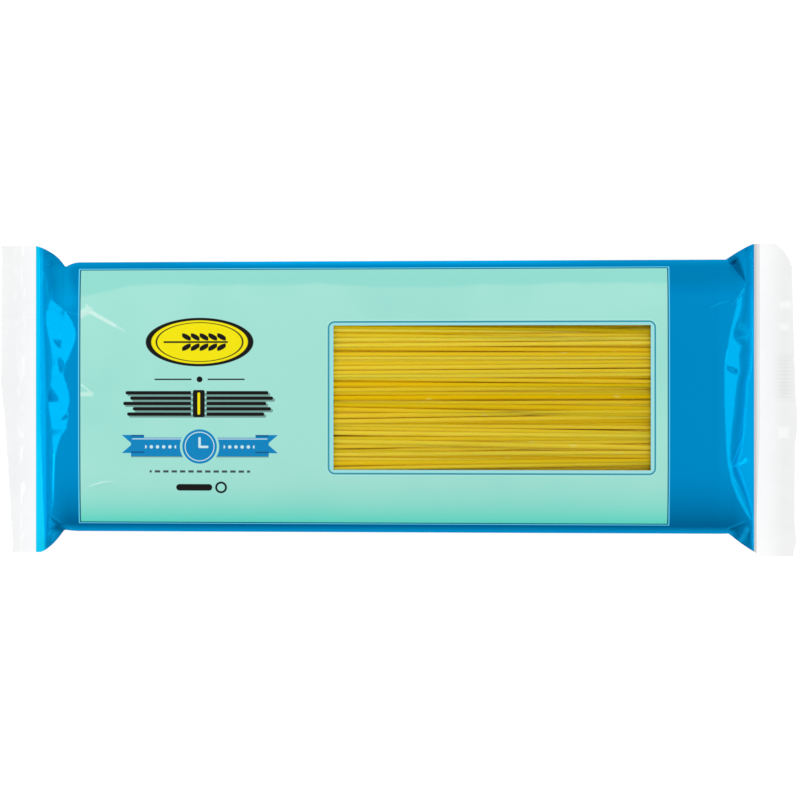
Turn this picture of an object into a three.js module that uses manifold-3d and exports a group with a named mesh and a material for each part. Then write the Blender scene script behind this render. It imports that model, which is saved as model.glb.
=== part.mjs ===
// A packet of spaghetti, lying on its back with the printed face up.
// A tube of film is sealed flat at both ends and holds a straight bundle of spaghetti,
// which shows through a window in the front. Sizes are in millimetres, +Z is up, +X runs
// along the packet, and the origin is under its middle, on the surface that it lies on.
import * as THREE from 'three';
import { mergeVertices } from 'three/addons/utils/BufferGeometryUtils.js';
import Module from 'manifold-3d';

const wasm = await Module();
wasm.setup();

// Driving sizes of the packet
const packetHalfLength = 155.4;    // to the outermost edge of either end fin
const bodyHeight = 31;             // from the surface to the crown of the front
const bodyHalfWidth = 53.3;        // at the middle of the packet's length
const bodyWidening = 0.55;         // the half width grows by this from the middle to the right end
const bodyOffset = 1.3;            // the body lies this far towards one side of the fins
const finHalfWidth = { left: 59.7, right: 60.9 };
const finOffset = { left: 0.4, right: 0 };
const finHeight = 14.6;            // where the end fins leave the body
const finThickness = 0.9;
const sectionExponent = 3.1;       // squareness of the body's section
const pressedIn = 0.9;             // the back is pressed flat by this much

// Where the film falls from the bundle's end to the fin, measured from the middle
const shoulder = 125.4;
const sealLine = 139.6;

// At each corner the film fans out from the body's width to the fin's: where it starts and
// ends along the packet, how quickly it opens, and the depth of the notch beside the body.
const corners = {
  left: {
    far: { from: 130.4, to: 142, haste: 2, notch: 1.7 },
    near: { from: 130.6, to: 140, haste: 1.5, notch: 0.4 },
  },
  right: {
    far: { from: 127.4, to: 138.4, haste: 1.2, notch: 0 },
    near: { from: 129.2, to: 141, haste: 1.8, notch: 0.2 },
  },
};
const notchAt = 129.8;
const notchReach = 5.5;

// Folds in the film as it falls to the fin: where each one lies across the packet at the
// shoulder and at the seal, its depth as a share of the film's height, and its half width.
const folds = {
  left: [
    { fromY: 64, toY: 31, depth: 0.42, halfWidth: 6.5 },
    { fromY: 24, toY: 17, depth: 0.14, halfWidth: 8 },
    { fromY: 0, toY: 4, depth: 0.24, halfWidth: 7 },
    { fromY: -27, toY: -22, depth: 0.12, halfWidth: 9 },
    { fromY: -57, toY: -41, depth: 0.4, halfWidth: 6 },
  ],
  right: [
    { fromY: 66, toY: 34, depth: 0.42, halfWidth: 7 },
    { fromY: 22, toY: 14, depth: 0.16, halfWidth: 9 },
    { fromY: -2, toY: -8, depth: 0.12, halfWidth: 9 },
    { fromY: -27, toY: -19, depth: 0.24, halfWidth: 8 },
    { fromY: -53, toY: -45, depth: 0.38, halfWidth: 6.5 },
  ],
};

// The cut outer edges of the fins, as [y, x] from the near corner to the far one
const finEdges = {
  left: [[-60, -150.6], [-27, -152.6], [-5, -154.1], [6, -155.4], [61, -155.2]],
  right: [
    [-61, 153.6], [-55, 155], [-48, 154.4], [-18, 154.5], [-11, 155.4], [-3, 155.2],
    [3, 154.7], [16, 154.4], [38, 153.7], [54, 153.4], [60.9, 147.2],
  ],
};

// The film's wall and the hollow in it
const wall = 0.8;
const clearance = 0.45;            // between the wall and the bundle
const foldRoom = 1.3;              // how much further in the hollow stays at the ends
const hollowEnd = 134.6;

// The clear window in the front
const windowLeft = -25.4;
const windowRight = 98.3;
const windowNear = -27.1;
const windowFar = 28.9;
const windowCorner = 0.9;

// The spaghetti
const strandLength = 250.8;
const strandDiameter = 1.85;
const strandSides = 8;
const strandPitch = 2.15;          // from one strand to the next in the top layer
const strandSpread = 41;           // the top layer reaches this far to either side
const strandWander = 0.8;          // a strand's ends lie up to this far out of line
const strandShift = 0.4;           // and it is pushed lengthwise by up to this

// How finely the surfaces are divided
const ringPoints = 72;
const hollowRingPoints = 44;
const bodySteps = 4;
const endSteps = 15;
const finSteps = [0.35, 0.7, 1];

const filmBlue = 0x0088c8;
const durumYellow = 0xd9b62c;

const { clamp, lerp } = THREE.MathUtils;

// Repeatable random numbers from -1 to 1
function seededRandom(seed) {
  let state = seed;
  return () => {
    state = (state * 1664525 + 1013904223) % 4294967296;
    return state / 2147483648 - 1;
  };
}

function share(value, from, to) {
  return clamp((value - from) / (to - from), 0, 1);
}

function smoothShare(value, from, to) {
  const t = share(value, from, to);
  return t * t * (3 - 2 * t);
}

// The height along a line of [position, height] points.
function alongPoints(points, position) {
  const last = points.length - 2;
  let k = 0;
  while (k < last && position > points[k + 1][0]) k++;
  const [from, to] = [points[k], points[k + 1]];
  return lerp(from[1], to[1], share(position, from[0], to[0]));
}

// The body's section as a closed run of [across, height] points, evenly spaced along the film.
// Across runs from -1 to 1, height from -1 at the back to 1 at the crown.
function roundSection(count) {
  const steps = 1440;
  const power = 2 / sectionExponent;
  const fine = [];
  for (let i = 0; i <= steps; i++) {
    const angle = (2 * Math.PI * i) / steps;
    const [across, up] = [Math.cos(angle), Math.sin(angle)];
    fine.push([Math.sign(across) * Math.abs(across) ** power, Math.sign(up) * Math.abs(up) ** power]);
  }
  const travelled = [0];
  for (let i = 1; i <= steps; i++) {
    const dy = (fine[i][0] - fine[i - 1][0]) * bodyHalfWidth;
    const dz = ((fine[i][1] - fine[i - 1][1]) * bodyHeight) / 2;
    travelled.push(travelled[i - 1] + Math.hypot(dy, dz));
  }
  const points = [];
  let k = 0;
  for (let i = 0; i < count; i++) {
    const target = (travelled[steps] * i) / count;
    while (travelled[k + 1] < target) k++;
    const t = share(target, travelled[k], travelled[k + 1]);
    points.push([lerp(fine[k][0], fine[k + 1][0], t), lerp(fine[k][1], fine[k + 1][1], t)]);
  }
  return points;
}

// The same run of points once the tube is pressed flat: across, and 1 on the front sheet,
// -1 on the back sheet and 0 on the two folded edges.
function flatSection(count) {
  const points = [];
  for (let i = 0; i < count; i++) {
    const across = i < count / 2 ? 1 - (4 * i) / count : (4 * i) / count - 3;
    const onEdge = i === 0 || i === count / 2;
    const sheet = onEdge ? 0 : Math.sign(count / 2 - i);
    points.push([across, sheet]);
  }
  return points;
}

function sideOf(x) {
  return x < 0 ? 'left' : 'right';
}

// How far the film has fallen from the body's section to the flat fin, from 0 to 1. It turns
// down sharply over the bundle's end and eases into the fin.
function fallenAt(x) {
  const t = share(Math.abs(x), shoulder, sealLine);
  return (smoothShare(t, 0, 1) + 1 - (1 - t) ** 2) / 2;
}

function cornerAt(x, across) {
  return corners[sideOf(x)][across < 0 ? 'near' : 'far'];
}

// Across the packet at x, for a point that lies at `across` on the body and at `flatAcross`
// on the fin.
function filmY(x, across, flatAcross) {
  const side = sideOf(x);
  const corner = cornerAt(x, across);
  const nearNotch = Math.max(0, 1 - Math.abs(Math.abs(x) - notchAt) / notchReach);
  const halfWidth = bodyHalfWidth + (bodyWidening * x) / shoulder - corner.notch * nearNotch ** 2;
  const opened = 1 - (1 - share(Math.abs(x), corner.from, corner.to)) ** corner.haste;
  const bodyY = bodyOffset + across * halfWidth;
  const flatY = finOffset[side] + flatAcross * finHalfWidth[side];
  return lerp(bodyY, flatY, opened);
}

function foldDepth(x, y) {
  const along = share(Math.abs(x), shoulder, sealLine);
  const envelope = Math.max(0, Math.sin(Math.PI * along)) ** 0.8;
  let depth = 0;
  for (const fold of folds[sideOf(x)]) {
    const middle = lerp(fold.fromY, fold.toY, along);
    const nearness = Math.max(0, 1 - Math.abs(y - middle) / fold.halfWidth);
    depth = Math.max(depth, fold.depth * nearness);
  }
  return depth * envelope;
}

// The fins droop a little and wave along their width.
function finLift(x, y) {
  const reach = Math.max(0, Math.abs(x) - sealLine + 2);
  if (x < 0) {
    const curl = 0.012 * reach ** 2 * smoothShare(-y, -5, 60);
    return Math.sin(y / 11.5 + 0.6) * 0.045 * reach - 0.012 * reach ** 2 - curl;
  }
  return Math.sin(y / 9.3 + 2.1) * 0.05 * reach - 0.008 * reach ** 2;
}

// One ring of the film's outer surface at a distance x along the packet.
function filmRing(x, body, flat) {
  const fallen = fallenAt(x);
  const crown = bodyHeight / 2;
  return body.map(([across, height], i) => {
    const [flatAcross, sheet] = flat[i];
    const y = filmY(x, across, flatAcross);
    const middle = lerp(crown, finHeight, fallen);
    const swell = crown * height * (1 - fallen) * (1 - foldDepth(x, y));
    const pressed = height < 0 ? pressedIn * (1 - fallen) : 0;
    const sheetOffset = (finThickness / 2) * sheet * fallen;
    const z = middle + swell + sheetOffset - pressed + finLift(x, y) * fallen;
    return new THREE.Vector3(x, y, Math.max(0, z));
  });
}

// The rings from the last one of the body out to the fin's cut edge.
function finRings(ring, side) {
  return finSteps.map((step) => ring.map((p) => {
    const x = lerp(p.x, alongPoints(finEdges[side], p.y), step);
    const z = p.z + finLift(x, p.y) - finLift(p.x, p.y);
    return new THREE.Vector3(x, p.y, z);
  }));
}

// Mirrors a run of distances from the middle to both sides of it.
function bothWays(half) {
  return [...half.slice(1).reverse().map((x) => -x), ...half];
}

// Closes a run of rings into one solid, with both ends zipped across.
function closedTube(rings) {
  const count = rings[0].length;
  const position = rings.flat().flatMap((p) => [p.x, p.y, p.z]);
  const index = [];
  for (let r = 0; r + 1 < rings.length; r++) {
    for (let i = 0; i < count; i++) {
      const a = r * count + i;
      const b = r * count + ((i + 1) % count);
      index.push(a, b, b + count, a, b + count, a + count);
    }
  }
  const last = (rings.length - 1) * count;
  for (let i = 0; i < count / 2; i++) {
    const [a, b] = [i, i + 1];
    const [c, d] = [count - 1 - i, (count - i) % count];
    if (a !== d) index.push(a, d, b, last + a, last + b, last + d);
    if (b !== c) index.push(b, d, c, last + b, last + c, last + d);
  }
  const geometry = new THREE.BufferGeometry();
  geometry.setAttribute('position', new THREE.Float32BufferAttribute(position, 3));
  geometry.setIndex(index);
  return solidOf(geometry);
}

function solidOf(geometry) {
  geometry.deleteAttribute('normal');
  geometry.deleteAttribute('uv');
  const merged = mergeVertices(geometry, 1e-4);
  return new wasm.Manifold(new wasm.Mesh({
    numProp: 3,
    vertProperties: merged.attributes.position.array,
    triVerts: new Uint32Array(merged.index.array),
  }));
}

function meshOf(name, solid, color, roughness) {
  const { vertProperties, triVerts } = solid.getMesh();
  const geometry = new THREE.BufferGeometry();
  geometry.setAttribute('position', new THREE.BufferAttribute(vertProperties, 3));
  geometry.setIndex(new THREE.BufferAttribute(triVerts, 1));
  geometry.computeVertexNormals();
  const material = new THREE.MeshStandardMaterial({ color, roughness, metalness: 0 });
  const mesh = new THREE.Mesh(geometry, material);
  mesh.name = name;
  return mesh;
}

// The film's outside. Its rings lie close together where the film falls to the fins.
function filmOutside() {
  const half = [];
  for (let i = 0; i < bodySteps; i++) half.push(((shoulder - 9) * i) / (bodySteps - 1));
  half.push(shoulder - 4);
  for (let i = 0; i <= endSteps; i++) half.push(lerp(shoulder - 0.4, 142, i / endSteps));
  const body = roundSection(ringPoints);
  const flat = flatSection(ringPoints);
  const rings = bothWays(half).map((x) => filmRing(x, body, flat));
  const leftFin = finRings(rings[0], 'left').reverse();
  const rightFin = finRings(rings[rings.length - 1], 'right');
  return closedTube([...leftFin, ...rings, ...rightFin]);
}

// The hollow inside the film. It narrows towards the seals, clear of the folds.
function filmHollow() {
  const section = roundSection(hollowRingPoints);
  const bundleEnd = strandLength / 2 + clearance;
  const half = [0, 60, 110, bundleEnd, bundleEnd + 1.5, bundleEnd + 3, bundleEnd + 5.5, hollowEnd];
  const rings = bothWays(half).map((x) => {
    const past = smoothShare(Math.abs(x), bundleEnd, bundleEnd + 3);
    const fallen = fallenAt(x);
    const inset = wall + foldRoom * past;
    const halfHeight = (bodyHeight / 2) * (1 - fallen) * (1 - 0.38 * past) - inset;
    const middle = lerp(bodyHeight / 2, finHeight, fallen);
    return section.map(([across, height]) => {
      const y = filmY(x, across, across) - across * inset;
      const z = middle + height * Math.max(0.4, halfHeight);
      return new THREE.Vector3(x, y, Math.max(wall, z));
    });
  });
  return closedTube(rings);
}

function windowCutter() {
  const [left, right, near, far, r] = [windowLeft, windowRight, windowNear, windowFar, windowCorner];
  const shape = new THREE.Shape();
  shape.absarc(right - r, near + r, r, -Math.PI / 2, 0, false);
  shape.absarc(right - r, far - r, r, 0, Math.PI / 2, false);
  shape.absarc(left + r, far - r, r, Math.PI / 2, Math.PI, false);
  shape.absarc(left + r, near + r, r, Math.PI, Math.PI * 1.5, false);
  const depth = bodyHeight / 2;
  const cutter = new THREE.ExtrudeGeometry(shape, { depth, bevelEnabled: false, curveSegments: 4 });
  cutter.translate(0, 0, bodyHeight - depth / 2);
  return solidOf(cutter);
}

function wrapper() {
  const skin = filmOutside().subtract(filmHollow());
  return meshOf('film_wrapper', skin.subtract(windowCutter()), filmBlue, 0.3);
}

// The bundle's outline stays clear of the film's wall all round.
const bundleInset = wall + clearance;
const bundleHalfWidth = bodyHalfWidth - bodyWidening - bundleInset;
const bundleHalfHeight = bodyHeight / 2 - bundleInset;

function bundleTop(y) {
  const t = Math.min(1, Math.abs(y - bodyOffset) / bundleHalfWidth);
  return bodyHeight / 2 + bundleHalfHeight * (1 - t ** sectionExponent) ** (1 / sectionExponent);
}

// The strands packed too deep to show, as one core under the top layer.
function bundleCore() {
  const section = roundSection(hollowRingPoints);
  const topHalfHeight = bundleHalfHeight - strandDiameter * 0.62;
  const end = strandLength / 2 - strandShift;
  const rings = [-end, end].map((x) => section.map(([across, height]) => {
    const z = bodyHeight / 2 + height * (height > 0 ? topHalfHeight : bundleHalfHeight);
    return new THREE.Vector3(x, bodyOffset + across * bundleHalfWidth, Math.max(bundleInset, z));
  }));
  return closedTube(rings);
}

// One straight strand of the top layer, from its left end to its right end.
function strand(leftY, rightY, shift) {
  const r = strandDiameter / 2;
  const length = strandLength - 2 * strandShift;
  const geometry = new THREE.CylinderGeometry(r, r, length, strandSides, 1);
  geometry.rotateY(Math.PI / strandSides);
  geometry.rotateZ(-Math.PI / 2);
  geometry.rotateZ(Math.atan2(rightY - leftY, length));
  const outermost = Math.abs(leftY - bodyOffset) > Math.abs(rightY - bodyOffset) ? leftY : rightY;
  const height = bundleTop(outermost + Math.sign(outermost - bodyOffset) * r) - r;
  geometry.translate(shift, (leftY + rightY) / 2, height);
  return solidOf(geometry);
}

function spaghetti() {
  const random = seededRandom(11);
  const strands = [];
  for (let y = -strandSpread; y <= strandSpread; y += strandPitch) {
    const middle = bodyOffset + y;
    const leftY = middle + random() * strandWander;
    const rightY = middle + random() * strandWander;
    strands.push(strand(leftY, rightY, random() * strandShift));
  }
  const bundle = wasm.Manifold.union([bundleCore(), ...strands]);
  return meshOf('spaghetti_bundle', bundle, durumYellow, 0.6);
}

const packet = new THREE.Group();
packet.name = 'pasta_packet';
packet.add(wrapper());
packet.add(spaghetti());

export default packet;
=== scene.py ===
# A packet of spaghetti in printed film, lying on its back and seen from above.
# Lengths in the dictionaries are in millimetres; every piece is made in metres.
import math

import bpy
import numpy as np
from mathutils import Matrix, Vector


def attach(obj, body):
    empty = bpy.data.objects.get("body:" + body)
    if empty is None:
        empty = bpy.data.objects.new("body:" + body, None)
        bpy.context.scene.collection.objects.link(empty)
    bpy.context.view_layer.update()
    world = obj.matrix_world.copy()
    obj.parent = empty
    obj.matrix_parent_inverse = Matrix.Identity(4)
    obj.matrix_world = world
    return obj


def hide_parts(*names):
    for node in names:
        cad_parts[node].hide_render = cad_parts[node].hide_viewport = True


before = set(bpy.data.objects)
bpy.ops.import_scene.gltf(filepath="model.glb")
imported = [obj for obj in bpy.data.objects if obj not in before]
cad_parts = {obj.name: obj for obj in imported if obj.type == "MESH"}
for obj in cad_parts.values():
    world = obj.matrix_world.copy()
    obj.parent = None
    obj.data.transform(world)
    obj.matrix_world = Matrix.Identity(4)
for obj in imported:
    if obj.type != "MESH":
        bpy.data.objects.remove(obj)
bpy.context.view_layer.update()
print("frame loaded:", ", ".join(sorted(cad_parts)))

mm = 0.001


# Shared helpers

def meshPiece(name, points, faces, smooth=True):
    mesh = bpy.data.meshes.new(name)
    mesh.from_pydata([tuple(p) for p in points], [], [tuple(f) for f in faces])
    mesh.validate()
    piece = bpy.data.objects.new(name, mesh)
    bpy.context.scene.collection.objects.link(piece)
    if smooth:
        mesh.polygons.foreach_set("use_smooth", [True] * len(mesh.polygons))
    return piece


def share(value, start, end):
    return np.clip((value - start) / (end - start), 0.0, 1.0)


def smoothShare(value, start, end):
    t = share(value, start, end)
    return t * t * (3 - 2 * t)


def mix(a, b, t):
    return a + (b - a) * t


# Shader maths

class Value:
    # a socket that adds Math nodes when it is used in an expression
    def __init__(self, tree, socket):
        self.tree = tree
        self.socket = socket

    def maths(self, operation, *terms):
        node = self.tree.nodes.new("ShaderNodeMath")
        node.operation = operation
        for slot, term in zip(node.inputs, terms):
            plug(self.tree, slot, term)
        return Value(self.tree, node.outputs[0])

    def clamped(self):
        node = self.tree.nodes.new("ShaderNodeClamp")
        plug(self.tree, node.inputs[0], self)
        return Value(self.tree, node.outputs[0])


def mathsMethod(operation, turned=False):
    if turned:
        return lambda self, other: self.maths(operation, other, self)
    return lambda self, *others: self.maths(operation, self, *others)


for method, operation in (("__add__", "ADD"), ("__sub__", "SUBTRACT"), ("__mul__", "MULTIPLY"),
                          ("__truediv__", "DIVIDE"), ("__pow__", "POWER"), ("__abs__", "ABSOLUTE"),
                          ("least", "MINIMUM"), ("most", "MAXIMUM"), ("modulo", "FLOORED_MODULO"),
                          ("sine", "SINE"), ("root", "SQRT"), ("floor", "FLOOR")):
    setattr(Value, method, mathsMethod(operation))
for method, operation in (("__radd__", "ADD"), ("__rsub__", "SUBTRACT"), ("__rmul__", "MULTIPLY")):
    setattr(Value, method, mathsMethod(operation, turned=True))


def plug(tree, slot, term):
    if isinstance(term, Value):
        tree.links.new(term.socket, slot)
    else:
        slot.default_value = term


class Builder:
    # adds nodes to a tree and hands their outputs on
    def __init__(self, tree):
        self.tree = tree

    def node(self, kind, settings=None, values=None, out=0):
        node = self.tree.nodes.new(kind)
        for key, setting in (settings or {}).items():
            setattr(node, key, setting)
        for key, value in (values or {}).items():
            plug(self.tree, node.inputs[key], value)
        return Value(self.tree, node.outputs[out])

    def axes(self, vector):
        node = self.tree.nodes.new("ShaderNodeSeparateXYZ")
        plug(self.tree, node.inputs[0], vector)
        return [Value(self.tree, socket) for socket in node.outputs]


class Finish(Builder):
    # a material under construction
    def __init__(self, name):
        self.material = bpy.data.materials.new(name)
        self.material.use_nodes = True
        super().__init__(self.material.node_tree)
        self.tree.nodes.clear()
        self.output = self.tree.nodes.new("ShaderNodeOutputMaterial")

    def objectPlace(self):
        return self.node("ShaderNodeTexCoord", out=3)

    def attribute(self, name):
        return self.node("ShaderNodeAttribute", {"attribute_name": name}, out=2)

    def stretched(self, vector, scale):
        return self.node("ShaderNodeMapping", {}, {"Vector": vector, "Scale": scale})

    def blend(self, factor, first, second):
        return self.node("ShaderNodeMixShader", {}, {0: factor, 1: first, 2: second})

    def colours(self, under, over, factor):
        node = self.tree.nodes.new("ShaderNodeMix")
        node.data_type = "RGBA"
        plug(self.tree, node.inputs["Factor"], factor)
        plug(self.tree, node.inputs["A"], under)
        plug(self.tree, node.inputs["B"], over)
        return Value(self.tree, node.outputs["Result"])

    def noise(self, vector, scale, detail=2.0, roughness=0.5):
        return self.node("ShaderNodeTexNoise", {}, {
            "Vector": vector, "Scale": scale, "Detail": detail, "Roughness": roughness})

    def spread(self, value, low, high, fromLow=0.0, fromHigh=1.0):
        return self.node("ShaderNodeMapRange", {"clamp": True}, {
            "Value": value, "From Min": fromLow, "From Max": fromHigh,
            "To Min": low, "To Max": high})

    def finish(self, surface):
        self.tree.links.new(surface.socket, self.output.inputs["Surface"])
        return self.material


def srgb(red, green, blue):
    def linear(channel):
        c = channel / 255
        return c / 12.92 if c <= 0.04045 else ((c + 0.055) / 1.055) ** 2.4
    return (linear(red), linear(green), linear(blue), 1.0)


# Camera, floor and lights

view = {
    "centreX": 0.39,        # the photograph's middle on the packet
    "distance": 2600.0,
    "pixels": 800,
    "mmPerPixel": 0.39,
    "sharpHeight": 15.0,    # the height above the floor at which that scale holds
    "sensor": 36.0,
}


def makeCamera():
    camera = bpy.data.objects.new("camera", bpy.data.cameras.new("camera"))
    camera.location = (view["centreX"] * mm, 0.0, view["distance"] * mm)
    reach = view["distance"] - view["sharpHeight"]
    camera.data.sensor_width = view["sensor"]
    camera.data.lens = view["sensor"] * reach / (view["pixels"] * view["mmPerPixel"])
    camera.data.clip_end = 20.0
    bpy.context.scene.collection.objects.link(camera)
    bpy.context.scene.camera = camera


studio = {
    "floorReach": 3000.0,
    "floorDrop": 0.2,      # keeps the paper clear of the packet's back
    "floorGlow": 0.94,
    "skyTop": 1.14,        # radiance of the tent overhead
    "skyLow": 0.32,        # radiance of the tent's near side
    "skyByHeight": 0.8,    # how the tent's shade follows the direction
    "skyByDepth": 0.45,
    "skySpan": 0.6,
    "aimShare": 0.35,      # the panels look at this share of their own distance, this high up
    "aimHeight": 20.0,
    "panels": {
        "leftPanel": {"radiance": 6.0, "size": (260.0, 36.0), "place": (-335.0, 0.0, 82.0)},
        "rightPanel": {"radiance": 5.0, "size": (260.0, 36.0), "place": (335.0, 0.0, 82.0)},
    },
}


def makeFloor():
    reach = studio["floorReach"] * mm
    corners = [(-reach, -reach, 0), (reach, -reach, 0), (reach, reach, 0), (-reach, reach, 0)]
    floor = meshPiece("floor", corners, [(0, 1, 2, 3)], smooth=False)
    paper = Finish("studioFloor")
    grain = paper.noise(paper.objectPlace(), 40.0)
    tone = paper.colours((0.12, 0.12, 0.12, 1), (0.13, 0.13, 0.13, 1), grain)
    floor.data.materials.append(paper.finish(paper.node("ShaderNodeBsdfPrincipled", {}, {
        "Base Color": tone, "Roughness": 1.0, "Specular IOR Level": 0.0,
        "Emission Color": (1, 1, 1, 1), "Emission Strength": studio["floorGlow"]})))
    floor.location = (0, 0, -studio["floorDrop"] * mm)


def makePanel(name, place, size, radiance):
    width, height = size[0] * mm, size[1] * mm
    lamp = bpy.data.lights.new(name, "AREA")
    lamp.shape = "RECTANGLE"
    lamp.size = width
    lamp.size_y = height
    # an area light's radiance is its power over pi times its area
    lamp.energy = radiance * math.pi * width * height
    light = bpy.data.objects.new(name, lamp)
    light.location = [v * mm for v in place]
    aim = Vector((place[0] * studio["aimShare"], 0, studio["aimHeight"])) - Vector(place)
    light.rotation_euler = aim.to_track_quat("-Z", "Y").to_euler()
    bpy.context.scene.collection.objects.link(light)


def makeWorld():
    world = bpy.data.worlds.new("studio")
    world.use_nodes = True
    tree = world.node_tree
    tree.nodes.clear()
    output = tree.nodes.new("ShaderNodeOutputWorld")
    sky = Builder(tree)
    _, depth, height = sky.axes(sky.node("ShaderNodeTexCoord"))
    towards = height * studio["skyByHeight"] + depth * studio["skyByDepth"]
    radiance = sky.node("ShaderNodeMapRange", {"interpolation_type": "SMOOTHSTEP"}, {
        "Value": towards, "From Min": -studio["skySpan"], "From Max": studio["skySpan"],
        "To Min": studio["skyLow"], "To Max": studio["skyTop"]})
    background = sky.node("ShaderNodeBackground", {}, {"Strength": radiance})
    tree.links.new(background.socket, output.inputs["Surface"])
    bpy.context.scene.world = world


def makeLights():
    makeWorld()
    for name, panel in studio["panels"].items():
        makePanel(name, panel["place"], panel["size"], panel["radiance"])
    settings = bpy.context.scene.view_settings
    settings.view_transform = "Standard"
    settings.look = "None"


makeCamera()
makeFloor()
makeLights()
print("camera, floor and lights made")


# The film's shape

packet = {
    "height": 31.0,
    "halfWidth": 52.9,
    "widening": 0.55,       # added to the half width at the right shoulder, taken off at the left
    "offset": 1.3,          # the body's middle, across the packet
    "exponent": 3.1,        # of the section: 2 is an ellipse, more is squarer
    "pressedIn": 0.9,       # how far the back is flattened by the packet's weight
    "shoulder": 125.4,
    "sealLine": 139.6,
    "flatFrom": 142.0,
    "sharpFrom": 131.0,     # from here outwards the side folds are sharp
    "finHeight": 14.6,
    "sheetGap": 0.3,
    "seamHalfWidth": 6.0,
    "seamStep": 0.25,
    "seamEdge": 0.6,
    "finHalfWidth": {"left": 59.7, "right": 60.9},
    "finOffset": {"left": 0.4, "right": 0.0},
    # where the side leaves the body and where it reaches the fin, how fast, and the notch's depth
    "corners": {
        "left": {"far": (130.4, 142.0, 1.5, 1.7), "near": (130.6, 140.0, 1.5, 0.4)},
        "right": {"far": (127.4, 138.4, 1.2, 0.0), "near": (128.4, 142.0, 1.2, 0.2)},
    },
    "notchAt": 129.8,
    "notchReach": 5.5,
    # the fins' uneven outer edges: y, then x
    "finEdges": {
        "left": [(-60, -150.6), (-27, -152.6), (-5, -154.1), (6, -155.4), (61, -155.2)],
        "right": [(-61, 153.6), (-55, 155), (-48, 154.4), (-18, 154.5), (-11, 155.4), (-3, 155.2),
                  (3, 154.7), (16, 154.4), (38, 153.7), (52, 153.3), (54.6, 152.5), (58.5, 149.8),
                  (60.9, 146.4)],
    },
}

windowPane = {"left": -25.4, "right": 97.6, "near": -27.1, "far": 28.9}
printEnds = {"left": -141.6, "right": 138.5}
unrolled = {"start": -156.0, "length": 312.0}       # the packet's length on the unrolled film
filmGrid = {
    "sectionSamples": 14401,
    "left": (-105.4, 99),           # the creased end's inner limit and its rows
    "body": (-105.0, 116.0, 70),
    "right": (117.4, 66),
    "finRows": 24,
    "frontColumns": 200,
    "backColumns": 100,
}


def roundSection():
    # the body's section, sampled finely: turn from 0 to 1 along the film, across and height
    angle = np.linspace(0.0, 2 * math.pi, filmGrid["sectionSamples"])
    power = 2 / packet["exponent"]
    across = np.sign(np.cos(angle)) * np.abs(np.cos(angle)) ** power
    height = np.sign(np.sin(angle)) * np.abs(np.sin(angle)) ** power
    steps = np.hypot(np.diff(across) * packet["halfWidth"], np.diff(height) * packet["height"] / 2)
    travelled = np.concatenate([[0.0], np.cumsum(steps)])
    return travelled / travelled[-1], across, height, travelled[-1]


sectionTurn, sectionAcross, sectionHeight, girth = roundSection()


def turnAt(y):
    # the turn round the film at which the front lies at y across the packet
    front = sectionTurn <= 0.5
    across = (y - packet["offset"]) / packet["halfWidth"]
    return float(np.interp(-across, -sectionAcross[front], sectionTurn[front]))


def printPosition(y):
    # how far a point of the front lies from the film's crown line, measured along the film
    return (0.25 - turnAt(y)) * girth


def fallenAt(x):
    t = share(np.abs(x), packet["shoulder"], packet["sealLine"])
    return (t * t * (3 - 2 * t) + 1 - (1 - t) ** 2) / 2


def filmY(x, across, flatAcross):
    left = x < 0
    far = across >= 0
    corners = [[packet["corners"][side][depth] for depth in ("far", "near")] for side in ("left", "right")]
    start, end, haste, notch = [
        np.where(left, np.where(far, corners[0][0][k], corners[0][1][k]),
                 np.where(far, corners[1][0][k], corners[1][1][k])) for k in range(4)]
    nearNotch = np.maximum(0, 1 - np.abs(np.abs(x) - packet["notchAt"]) / packet["notchReach"])
    halfWidth = packet["halfWidth"] + packet["widening"] * x / packet["shoulder"] - notch * nearNotch ** 2
    opened = 1 - (1 - share(np.abs(x), start, end)) ** haste
    bodyY = packet["offset"] + across * halfWidth
    flatY = np.where(left, packet["finOffset"]["left"] + flatAcross * packet["finHalfWidth"]["left"],
                     packet["finOffset"]["right"] + flatAcross * packet["finHalfWidth"]["right"])
    return mix(bodyY, flatY, opened)


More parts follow.
